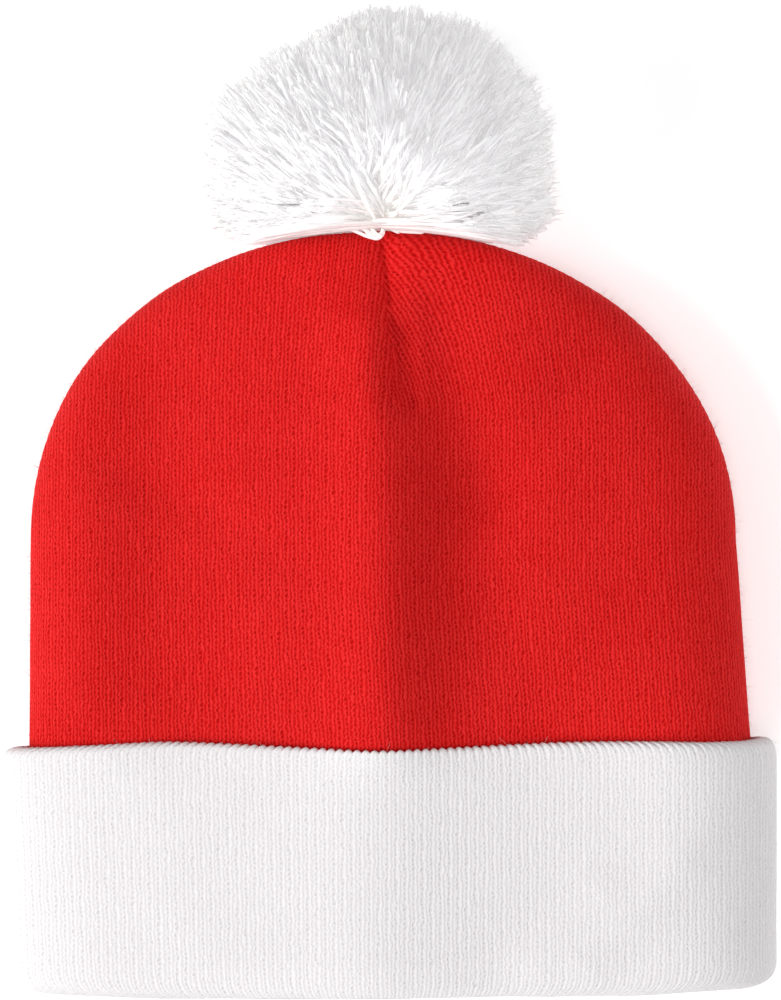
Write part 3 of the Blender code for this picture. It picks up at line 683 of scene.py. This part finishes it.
# %% Knit material
def knit_material(name, hole_shade, base, light, depth, hole_shade_strength, sheen, seed):
    """Stitches from the map of wales u and courses v, both bent a little by noise. With q
    the distance from the wale's middle (0 to 1), a leg's height is (sin pi q)^1.6, and a
    hole is where q is near 1 and (1 + sin 2 pi v) / 2 is high. The colour follows that
    height as painted light: raised legs go towards the light colour, a painted highlight,
    and holes and the line between the legs towards the darkest colour, a painted shade.
    Noise adds random tone on top."""
    material, tree, shader = new_material(
        name, 0.85, {"Sheen Weight": sheen, "Sheen Roughness": 0.5, "Sheen Tint": (*base, 1.0)})
    u, v = map_of(tree, "stitches")
    slow = noise(tree, u * 0.8, v * 0.25, seed)
    quick = noise(tree, u * 1.3, v * 1.1, seed + 7.0, 1.0)
    u = u + (slow - 0.5) * 0.6 + (quick - 0.5) * 0.42
    v = v + (slow - 0.5) * 1.2 + (quick - 0.5) * 0.9
    course = (v * (2.0 * math.pi)).sine()
    q = (((u + course * 0.03).part() - 0.5) * 2.0).size()
    leg = (q * math.pi).sine() ** 1.6
    stitch = add_node(tree, "ShaderNodeTexWhiteNoise", {"noise_dimensions": "2D"},
                      {"Vector": vector_of(tree, (u + 0.5).whole(), (v + 0.25).whole())})
    open_row = (course * 0.5 + 0.5).between(0.15, 0.95)
    hole = q.between(0.55, 0.95) * open_row * (0.3 + stitch * 0.8)
    pinch = (1.0 - q.between(0.05, 0.36)) * (0.8 - open_row * 0.55)
    fibre = noise(tree, u * 5.0 + v * 1.6, v * 2.4, seed, 3.0)
    lint = noise(tree, u * 2.6 - v * 1.9, v * 2.2, seed + 3.0)
    along = noise(tree, u * 1.9, v * 0.22, seed + 5.0, 1.0)
    cloud = noise(tree, u * 0.1, v * 0.07, seed)
    ply = leg * (0.4 + along * 1.1)
    height = ply * 0.75 + 0.2 - hole * 0.6 - pinch * 0.3
    # Painted highlight and shade: lighter where the legs stand high, darker in holes and between the
    # legs; the noise terms add random tone.
    relief_shade_and_tone = height * 0.85 + (fibre - 0.5) * 1.00 + (lint - 0.5) * 1.00 + (cloud - 0.5) * 0.35
    colour = relief_shade_and_tone.between(-0.15, 1.05).colour(base, light)
    # Painted shade: holes and the line between the legs darken towards the darkest colour.
    colour = ((hole + pinch * 0.35) * hole_shade_strength).colour(colour, hole_shade)
    relief = height + (fibre - 0.5) * 0.7 + (lint - 0.5) * 0.7
    wire_up(tree, shader, colour, relief, 1.0, depth)
    return material


# How far holes and the line between the legs darken: a painted shade. In each knit below the darkest
# colour is that painted shade, and the lightest is a painted highlight on the raised legs as well as
# the pale end of the random tone.
HOLE_SHADE_STRENGTH = 0.75
crown.data.materials.append(knit_material(
    "red_knit_yarn", (0.39, 0.0, 0.0), (0.5, 0.0, 0.0), (0.745, 0.021, 0.021),
    0.15 * MM, HOLE_SHADE_STRENGTH, 0.03, 1.0))
cuff.data.materials.append(knit_material(
    "white_knit_yarn", (0.62, 0.6, 0.605), (0.685, 0.66, 0.67), (0.785, 0.765, 0.775),
    0.09 * MM, HOLE_SHADE_STRENGTH, 0.1, 4.0))

# %% [markdown]
# ## The pompom
# A pompom is yarn wound many times, tied tight at its middle and cut open. All its strands
# start at the tie, on the crown's apex, rise and lean over like the jets of a fountain, and
# end in soft frayed tips that together make the ball. Some are thick and most are thin. The
# strands next to the crown are pressed flat against it. So each strand is a tube along a
# curve from the tie to a point on the ball.

# %% Bundles of tubes
def tube_bundle(name, paths, radii, sides, turn):
    """Tubes along many paths at once: a circle of points round each path point, its plane
    square to the path, and a cap of triangles at both ends. The map counts millimetres
    along the yarn and turns round it, and "share" is the share of the yarn's length."""
    count, steps, _axes = paths.shape
    ahead = np.gradient(paths, axis=1)
    ahead /= np.linalg.norm(ahead, axis=2, keepdims=True)
    upright = np.abs(ahead[:, :1, 2:]) > 0.8
    side = np.cross(ahead, np.where(upright, (1.0, 0.0, 0.0), (0.0, 0.0, 1.0)))
    side /= np.linalg.norm(side, axis=2, keepdims=True)
    other = np.cross(ahead, side)
    angle = np.linspace(0.0, 2.0 * math.pi, sides, endpoint=False) + turn[:, None, None]
    angle = angle[..., None]
    rings = np.cos(angle) * side[:, :, None] + np.sin(angle) * other[:, :, None]
    rings = paths[:, :, None] + rings * radii[:, :, None, None]
    points = np.concatenate((rings.reshape(count, -1, 3), paths[:, :1], paths[:, -1:]), axis=1)
    per = steps * sides + 2
    k = np.arange(sides)
    after = (k + 1) % sides
    wall = np.stack((k, after, sides + after, sides + k), axis=1)
    walls = np.concatenate([wall + m * sides for m in range(steps - 1)])
    start = np.stack((np.full(sides, per - 2), after, k), axis=1)
    last = (steps - 1) * sides
    end = np.stack((np.full(sides, per - 1), last + k, last + after), axis=1)
    caps = np.concatenate((start, end))
    base = (np.arange(count) * per)[:, None, None]
    quads, tris = (base + walls[None]).reshape(-1, 4), (base + caps[None]).reshape(-1, 3)
    corners = np.concatenate((quads.ravel(), tris.ravel()))
    starts = np.append(np.arange(len(quads)) * 4, quads.size + np.arange(len(tris)) * 3)

    def at_points(values):
        """A value of each path point, for all the points of its circle and both caps."""
        rings = np.repeat(values, sides, axis=1)
        return np.concatenate((rings, values[:, :1], values[:, -1:]), axis=1)

    run = lengths_along(paths) / MM
    u_quad = np.tile(np.stack((k, k + 1, k + 1, k), axis=1) / sides, (steps - 1, 1))
    u_cap = np.tile(np.stack((k + 0.5, k + 1, k), axis=1) / sides, (2, 1))
    number = np.arange(count)[:, None, None]
    u = np.concatenate(((number + u_quad[None]).ravel(), (number + u_cap[None]).ravel()))
    places = np.column_stack((u, at_points(run).ravel()[corners]))
    mesh = raw_mesh(name, points.reshape(-1, 3), corners, starts, "yarn", places)
    share = mesh.attributes.new("share", "FLOAT", "POINT")
    share.data.foreach_set("value", at_points(run / run[:, -1:]).astype(np.float32).ravel())
    return smooth_piece(mesh)


# %% The pompom's ball
POMPOM_WIDTH, POMPOM_REACH, POMPOM_DEPTH = 100.0 * MM, 45.6 * MM, 45.6 * MM
POMPOM_RISE, POMPOM_SHIFT, POMPOM_CENTRE_HEIGHT = 17.0 * MM, -1.3 * MM, 38.0 * MM
ball_centre = np.array([DOME_SHIFT + POMPOM_SHIFT, APEX_Y + POMPOM_RISE, POMPOM_CENTRE_HEIGHT])
TIE_POINT = np.array([DOME_SHIFT + POMPOM_SHIFT, APEX_Y + 1.0 * MM, 33.0 * MM])
TIE_SPREAD, TIE_SCATTER, FLOOR_GAP = 0.22, (3.6, 0.8, 2.6), 0.9 * MM
EDGE_SOFTNESS, EDGE_LOW, EDGE_HIGH = 1.8 * MM, 10.0 * MM, 17.0 * MM
# Strands in a tuft, the least length over the tie, and where short and full ones are cut
TUFT, SHORTEST, SHORT_SHARE, SHORT_CUT, FULL_CUT = 22, 24.0 * MM, 0.4, (0.62, 0.96), (0.965, 1.0)
STRANDS, FIBRES, THICK_SHARE = 5500, 4200, 0.32
# across, along, up, spread, swell: dents and swells of the trimmed ball
LUMPS = (
    (-0.54, 0.84, 0.05, 0.24, -0.105),
    (-0.8, 0.6, 0.05, 0.1, -0.03),
    (0.74, 0.66, 0.2, 0.35, 0.045),
    (0.96, -0.26, 0.05, 0.12, 0.045),
    (-0.9, 0.42, 0.1, 0.14, 0.02),
    (-0.3, 0.35, 0.88, 0.4, -0.03),
    (0.45, 0.2, 0.86, 0.4, 0.02),
    (0.93, 0.33, 0.05, 0.07, -0.06),
    (0.985, -0.12, 0.05, 0.06, -0.07),
    (0.8, 0.58, 0.05, 0.07, -0.05),
    (-0.3, 0.94, 0.1, 0.08, -0.035),
)


def ball_reach(direction):
    """How far the ball reaches along unit directions: an oval 1 / |d / radii|, swollen and
    dented by bells round the lumps' directions, and flat on the floor."""
    radii = np.array([POMPOM_WIDTH / 2, POMPOM_REACH, POMPOM_DEPTH])
    reach = 1.0 / np.linalg.norm(direction / radii, axis=1)
    for across, along, up, spread, swell in LUMPS:
        away = np.linalg.norm(direction - np.array((across, along, up)), axis=1)
        reach = reach * (1.0 + swell * np.exp(-0.5 * (away / spread) ** 2))
    down = -direction[:, 2]
    to_floor = (POMPOM_CENTRE_HEIGHT - 0.8 * MM) / np.maximum(down, 0.05)
    return np.minimum(reach, np.where(down > 0.05, to_floor, 1.0))


def outline_y(x):
    """The crown's outline in plan above x."""
    xs = np.concatenate((outer_skin.left[:, 0], outer_skin.right[::-1, 0]))
    ys = np.concatenate((outer_skin.left[:, 1], outer_skin.right[::-1, 1]))
    return np.interp(x, xs, ys)


def above_edge(points, gap):
    """Keep points a gap off the crown's top edge. With d the height over it and s the
    softness, a point above it rises by s exp(-d / 4s), and one below comes to s exp(3d / 4s)."""
    edge = outline_y(points[..., 0]) + gap
    over = points[..., 1] - edge
    above = over + EDGE_SOFTNESS * np.exp(-np.maximum(over, 0.0) / (4.0 * EDGE_SOFTNESS))
    below = EDGE_SOFTNESS * np.exp(0.75 * np.minimum(over, 0.0) / EDGE_SOFTNESS)
    lifted = np.where(over > 0, above, below)
    high = smooth(points[..., 2], EDGE_LOW, EDGE_HIGH)
    kept = points.copy()
    kept[..., 1] = edge + over * (1.0 - high) + lifted * high
    kept[..., 2] = np.maximum(kept[..., 2], FLOOR_GAP)
    return kept


def strand_paths(count, steps, seed, scatter):
    """Curves from the tie to the ball. Their ends take even directions by the golden angle,
    gathered in tufts, and none ends close over the tie. Each is a quadratic curve. Its
    middle point lies higher than halfway and nearer the tie, so it rises and then leans
    over, as the jets of a fountain do."""
    random = np.random.default_rng(seed)
    k = np.arange(count)
    up = 1.0 - 2.0 * (k + 0.5) / count
    round_part = np.sqrt(1.0 - up * up)
    golden = math.pi * (3.0 - math.sqrt(5.0))
    direction = np.column_stack((round_part * np.cos(golden * k), up, round_part * np.sin(golden * k)))
    tufts = random.normal(size=(count // TUFT, 3))
    tufts /= np.linalg.norm(tufts, axis=1, keepdims=True)
    nearest = np.argmax(direction @ tufts.T, axis=1)
    gather = random.uniform(0.3, 0.78, len(tufts))[nearest][:, None]
    direction = direction * (1.0 - gather) + tufts[nearest] * gather
    direction += random.normal(0.0, scatter, direction.shape)
    direction /= np.linalg.norm(direction, axis=1, keepdims=True)
    facing_up = np.clip(direction[:, 2], 0.0, 1.0)
    tuft_trim = 1.005 - (0.06 + 0.12 * facing_up) * random.uniform(0.0, 1.0, len(tufts))[nearest] ** 2
    short = random.uniform(0.0, 1.0, count) < SHORT_SHARE
    cut = np.where(short, random.uniform(*SHORT_CUT, count), random.uniform(*FULL_CUT, count))
    end = ball_centre + direction * (ball_reach(direction) * tuft_trim * cut)[:, None]
    end[:, 1] += random.uniform(0.0, 2.5 * MM, count) * (end[:, 1] < outline_y(end[:, 0]) + 3.0 * MM)
    beside = np.hypot(end[:, 0] - TIE_POINT[0], end[:, 1] - TIE_POINT[1])
    rise = np.abs(end[:, 2] - TIE_POINT[2])
    shortest = SHORTEST * random.uniform(0.45, 1.0, count) ** 0.6
    kept = (beside > shortest * smooth(rise, 5.0 * MM, 30.0 * MM)) & (direction[:, 1] > -0.62)
    kept &= (end[:, 1] > outline_y(end[:, 0]) - 2.0 * MM) | (end[:, 2] < 14.0 * MM)
    end, nearest = end[kept], nearest[kept]
    count = len(end)
    tie = TIE_POINT + random.normal(0.0, 1.0 * MM, (count, 3)) * TIE_SCATTER
    tie[:, 2] += TIE_SPREAD * (end[:, 2] - TIE_POINT[2])
    span = end - tie
    reach = np.linalg.norm(span, axis=1, keepdims=True)
    comb = random.uniform(0.55, 1.0, len(tufts))[nearest][:, None]
    comb = comb * random.uniform(0.8, 1.1, (count, 1))
    middle = tie + span * (0.5 + comb * np.array([[-0.3, -0.3, 0.55]]))
    middle[:, 1] -= 0.1 * np.abs(span[:, 0])
    stray = random.normal(0.0, 0.085, (len(tufts), 3))[nearest]
    middle += (stray + random.normal(0.0, 0.045, (count, 3))) * reach
    t = np.linspace(0.04, 1.0, steps)[:, None]
    paths = (1 - t) ** 2 * tie[:, None] + 2 * t * (1 - t) * middle[:, None] + t ** 2 * end[:, None]
    shake = random.normal(0.0, 0.22 * MM, paths.shape)
    paths = paths + shake * np.linspace(0.3, 1.0, steps)[:, None]
    return above_edge(paths, random.uniform(0.2, 1.0, (count, 1)) ** 2 * 4.0 * MM), random


def make_strands(name, count, seed):
    """Yarn strands, some thick and most thin: narrow at the tie, full along their length,
    and a little narrower again at the cut end. Also gives their paths."""
    paths, random = strand_paths(count, 6, seed, 0.035)
    thick = random.uniform(0.0, 1.0, (len(paths), 1)) < THICK_SHARE
    wide, narrow = (random.uniform(*ends, thick.shape) for ends in ((0.6, 0.85), (0.32, 0.5)))
    full = np.where(thick, wide, narrow) * MM
    profile = np.array([0.5, 0.85, 1.0, 1.1, 1.1, 0.7])
    bundle = tube_bundle(name, paths, full * profile, 3, random.uniform(0, 6.3, len(paths)))
    return bundle, paths


def make_fibres(name, paths, count, seed):
    """Loose fibres at the strands' cut ends: each starts inside a strand's last run and
    leaves its end in a direction a little off the strand's own."""
    random = np.random.default_rng(seed)
    chosen = paths[random.integers(0, len(paths), count)]
    ahead = chosen[:, -1] - chosen[:, -2]
    ahead /= np.linalg.norm(ahead, axis=1, keepdims=True)
    ahead = ahead + random.normal(0.0, 0.34, ahead.shape)
    start = chosen[:, -1] - 0.6 * MM * ahead + random.normal(0.0, 0.18 * MM, ahead.shape)
    end = chosen[:, -1] + random.uniform(0.8, 2.4, (count, 1)) * MM * ahead
    lines = above_edge(np.stack((start, end), axis=1), 0.5 * MM)
    radii = random.uniform(0.13, 0.22, (count, 1)) * MM * np.array([[1.0, 0.5]])
    return tube_bundle(name, lines, radii, 3, random.uniform(0, 6.3, count))


strands, frays = [], []
for letter, seed in (("a", 21), ("b", 22), ("c", 24)):
    bundle, paths = make_strands("pompom_strands_" + letter, STRANDS, seed)
    strands.append(bundle)
    frays.append(make_fibres("pompom_fibres_" + letter, paths, FIBRES, seed + 10))

# %% A dense heart, so that no light passes through
HEART_SHARE = 0.52


def make_heart():
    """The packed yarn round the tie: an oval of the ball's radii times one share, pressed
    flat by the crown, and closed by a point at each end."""
    turns, lifts = 48, 24
    turn = np.arange(turns) * (2 * math.pi / turns)
    lift = np.linspace(0.0, math.pi, lifts + 1)[1:-1]
    turn, lift = np.meshgrid(turn, lift, indexing="ij")
    unit = np.stack((np.sin(lift) * np.cos(turn), np.cos(lift), np.sin(lift) * np.sin(turn)), axis=-1)
    size = np.array([POMPOM_WIDTH / 2, POMPOM_REACH, POMPOM_DEPTH]) * HEART_SHARE
    middle = ball_centre + np.array([0.0, 6.0, -3.0]) * MM
    points = np.concatenate((unit.reshape(-1, 3), [[0.0, 1.0, 0.0], [0.0, -1.0, 0.0]]))
    points = middle + points * size
    points[:, 1] = np.maximum(points[:, 1], outline_y(points[:, 0]) + 6.0 * MM)
    ids = np.arange(turn.size).reshape(turn.shape)
    first, last = np.full((turns, 1), turn.size), np.full((turns, 1), turn.size + 1)
    ids = np.concatenate((first, ids, last), axis=1)
    ids = np.concatenate((ids, ids[:1]), axis=0)
    quads, _uvs = grid_quads(ids, np.zeros(ids.shape + (2,)))
    faces = [tuple(dict.fromkeys(quad)) for quad in quads.tolist()]
    mesh = bpy.data.meshes.new("pompom_heart")
    mesh.from_pydata((points + SHIFT).tolist(), [], faces)
    turn_outwards(mesh)
    return smooth_piece(mesh)


heart = make_heart()

# %% Yarn material
def yarn_material(name, root, tip, streak, sheen):
    """Loose white yarn: a darker, creamier root and a whiter tip by the share along the strand,
    with streaks along its fibres in colour and relief. The darker root, deep in the ball, is
    partly painted shade and partly a warmer yarn tone. It scatters light inside, and a
    faint glow stands in for the light that passes through loose yarn."""
    material, tree, shader = new_material(name, 0.8, {
        "Sheen Weight": sheen, "Sheen Roughness": 0.5, "Sheen Tint": (1.0, 1.0, 1.0, 1.0),
        "Emission Color": (1.0, 0.99, 1.0, 1.0), "Emission Strength": 0.2,
        "Subsurface Weight": 0.7, "Subsurface Radius": (1.0, 0.95, 0.95),
        "Subsurface Scale": 3.0 * MM})
    u, v = map_of(tree, "yarn")
    share = add_node(tree, "ShaderNodeAttribute", {"attribute_name": "share"}, output=2)
    streaks = noise(tree, u * 9.0, v * 0.22)
    strand = add_node(tree, "ShaderNodeTexWhiteNoise", {"noise_dimensions": "1D"}, {"W": u.whole()})
    # Painted shade with tone: towards the root, deep in the ball, the colour goes to the darker cream;
    # the noise terms add random tone.
    root_shade_and_tone = share.between(0.25, 0.95) * 0.85 + (streaks - 0.5) * streak + (strand - 0.5) * 0.25
    colour = root_shade_and_tone.between(0.0, 1.0).colour(root, tip)
    wire_up(tree, shader, colour, streaks, 0.8, 0.35 * MM)
    return material


# The first colour, a darker cream root, is partly painted shade and partly the yarn's warmer tone.
white_yarn = yarn_material("white_pompom_yarn", (0.88, 0.85, 0.8), (0.955, 0.94, 0.965), 0.35, 0.35)
for piece in (*strands, *frays):
    piece.data.materials.append(white_yarn)
paint(heart, "packed_yarn", 0.9, (0.84, 0.81, 0.77))

# %% [markdown]
# ## The tie
# The yarn that holds the pompom comes through the apex, is knotted in front of the crown's
# edge, and its loose ends lie along that edge.

# %% The tie's loops and ends
TIE_YARN_RADIUS, TIE_RISE, TIE_STEPS = 0.5 * MM, 5.0 * MM, 16


def make_tie():
    """Each yarn is a row of points, in millimetres across, along and above the apex, made
    soft by taking (before + 2 here + after) / 4 three times."""
    apex = np.array([DOME_SHIFT, APEX_Y, APEX_HEIGHT + TIE_RISE])
    yarns = (
        ((-13.5, 1.8, 0.0), (-10.0, 0.6, 1.2), (-7.0, -0.6, 1.6), (-4.5, -1.8, 1.9), (-2.0, -2.4, 2.2)),
        ((-12.0, 2.6, 1.0), (-9.0, 1.8, 1.8), (-6.0, 0.6, 2.2), (-3.0, -1.0, 2.6), (-0.8, -2.2, 2.2)),
        ((-5.5, 0.6, 2.0), (-4.0, -1.2, 2.8), (-2.2, -2.7, 3.0), (-0.4, -2.0, 2.6), (0.3, -0.2, 2.0)),
        ((-4.4, 2.5, 3.0), (-3.2, 0.4, 3.8), (-1.6, -1.6, 3.8), (-0.2, -1.0, 3.2), (0.2, 1.2, 2.6)),
        ((-1.6, 8.2, 9.0), (-0.9, 5.0, 8.0), (0.8, 1.6, 5.6), (2.8, 0.0, 3.4), (4.6, -0.7, 2.2)),
        ((1.8, 0.6, 2.2), (4.0, -0.2, 2.2), (6.2, -0.4, 1.9), (8.6, -0.5, 1.4), (11.5, -0.6, 0.6)),
        ((0.6, 1.2, 3.0), (3.2, 0.9, 3.0), (6.0, 0.6, 2.4), (9.0, 0.5, 1.4), (12.6, 0.2, 0.2)),
    )
    control = apex + np.array(yarns) * MM
    place = np.linspace(0.0, control.shape[1] - 1.0, TIE_STEPS)
    rows = np.arange(control.shape[1])
    paths = np.array([np.column_stack([np.interp(place, rows, axis) for axis in line.T])
                      for line in control])
    for _pass in range(3):
        paths[:, 1:-1] = (paths[:, :-2] + 2.0 * paths[:, 1:-1] + paths[:, 2:]) / 4.0
    radii = np.full((len(paths), TIE_STEPS), TIE_YARN_RADIUS)
    radii[:, 0], radii[:, -1] = 0.3 * MM, 0.35 * MM
    return tube_bundle("tie_yarn_strands", paths, radii, 8, np.zeros(len(paths)))


tie = make_tie()
tie.data.materials.append(white_yarn)

# %% [markdown]
# ## Fuzz
# Knit yarn is hairy. Short single fibres stand off the surface everywhere, and they show
# most along the outline. Each is one thin, three-sided, bent tube rooted in a face of the
# knit.

# %% Fuzz
def make_fuzz(name, piece, count, longest, seed):
    """Fibres at faces picked by their area and by how far they turn to the side. A fibre
    runs from its root by t (n + a) + t^2 b, with n the face's normal and a and b random."""
    random = np.random.default_rng(seed)
    faces = piece.data.polygons
    centre, normal, area = (np.empty(len(faces) * size) for size in (3, 3, 1))
    faces.foreach_get("center", centre)
    faces.foreach_get("normal", normal)
    faces.foreach_get("area", area)
    centre, normal = centre.reshape(-1, 3) - SHIFT, normal.reshape(-1, 3)
    outward = centre - (centre.min(axis=0) + centre.max(axis=0)) / 2
    shown = area * (0.25 + 1.0 - np.abs(normal[:, 2])) * ((normal * outward).sum(axis=1) > 0.0)
    chosen = random.choice(len(faces), count, p=shown / shown.sum())
    length = longest * random.uniform(0.35, 1.0, (count, 1)) ** 1.5
    lean = (normal[chosen] + random.normal(0.0, 0.55, (count, 3))) * length
    bend = random.normal(0.0, 0.4, (count, 3)) * length
    t = np.array([-0.15, 0.45, 1.0])[:, None]
    paths = centre[chosen][:, None] + t * lean[:, None] + t * np.abs(t) * bend[:, None]
    paths[:, :, 2] = np.maximum(paths[:, :, 2], 0.1 * MM)
    radii = random.uniform(0.022, 0.036, (count, 1)) * MM * np.array([[1.0, 0.9, 0.5]])
    return tube_bundle(name, paths, radii, 3, np.zeros(count))


crown_fuzz = make_fuzz("crown_fuzz", crown, 3400, 1.7 * MM, 31)
cuff_fuzz = make_fuzz("cuff_fuzz", cuff, 2200, 1.5 * MM, 32)
paint(crown_fuzz, "red_fuzz", 0.8, (0.7, 0.02, 0.02))
paint(cuff_fuzz, "white_fuzz", 0.8, (0.8, 0.78, 0.79))

# %% [markdown]
# ## Riding on the frame
# Every piece rides on the hat's one body and stands in for the CAD node it covers, which
# is hidden. Each row also lists a material slot, which nothing here reads.

# %% Ride and replace
COVERS = (
    ("crown", "red_knit", (crown, crown_fuzz)),
    ("cuff", "white_knit", (cuff, cuff_fuzz)),
    ("pompom", "white_yarn", (*strands, *frays, heart)),
    ("pompom_tie", "tie_yarn", (tie,)),
)
for node, slot, pieces in COVERS:
    for piece in pieces:
        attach(piece, "root")
        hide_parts(node)

# %% [markdown]
# ## Floor, light and camera
# The hat lies on a plain pale floor and is seen from straight above. A large soft light
# stands far to its left, a weak one to its right and a weaker one overhead. Even light all
# round keeps the shadows open, and a faint glow keeps the floor white.

# %% Floor
bpy.ops.mesh.primitive_plane_add(size=6.0, location=(0.0, 0.0, 0.0))
floor = bpy.context.object
floor.name = "floor"
paint(floor, "pale_floor", 0.9, (0.93, 0.93, 0.93),
      {"Emission Color": (1.0, 1.0, 1.0, 1.0), "Emission Strength": 0.32})

# %% Light
world = bpy.context.scene.world or bpy.data.worlds.new("studio")
bpy.context.scene.world = world
world.use_nodes = True
sky = world.node_tree.nodes["Background"].inputs
sky["Color"].default_value = (1.0, 1.0, 1.0, 1.0)
sky["Strength"].default_value = 0.37


def soft_light(name, place, size, power):
    """A square area light that looks at the hat's middle."""
    lamp = bpy.data.lights.new(name, "AREA")
    lamp.size, lamp.energy = size, power
    light = bpy.data.objects.new(name, lamp)
    light.location = place
    aim = np.array((0.0, 0.0, 0.02)) - np.array(place)
    light.rotation_euler = Vector(aim).to_track_quat("-Z", "Y").to_euler()
    bpy.context.scene.collection.objects.link(light)


soft_light("key", (-3.25, -0.9, 2.2), 2.4, 152.0)
soft_light("overhead", (0.1, -0.4, 2.4), 1.0, 11.0)
soft_light("fill", (3.0, 0.1, 2.2), 2.0, 36.0)

# %% Camera
# A pixel of the picture on the hat, and the picture's height in pixels
PIXEL, TALL = 0.2835 * MM, 1000
LENS, SENSOR = 250.0, 36.0
camera_data = bpy.data.cameras.new("camera")
camera_data.lens, camera_data.sensor_width = LENS, SENSOR
camera = bpy.data.objects.new("camera", camera_data)
camera.location = (-0.5 * PIXEL, 1.0 * PIXEL, 20.0 * MM + TALL * PIXEL * LENS / SENSOR)
bpy.context.scene.collection.objects.link(camera)
bpy.context.scene.camera = camera
bpy.context.scene.view_settings.view_transform = "Standard"
print("camera height", camera.location.z)
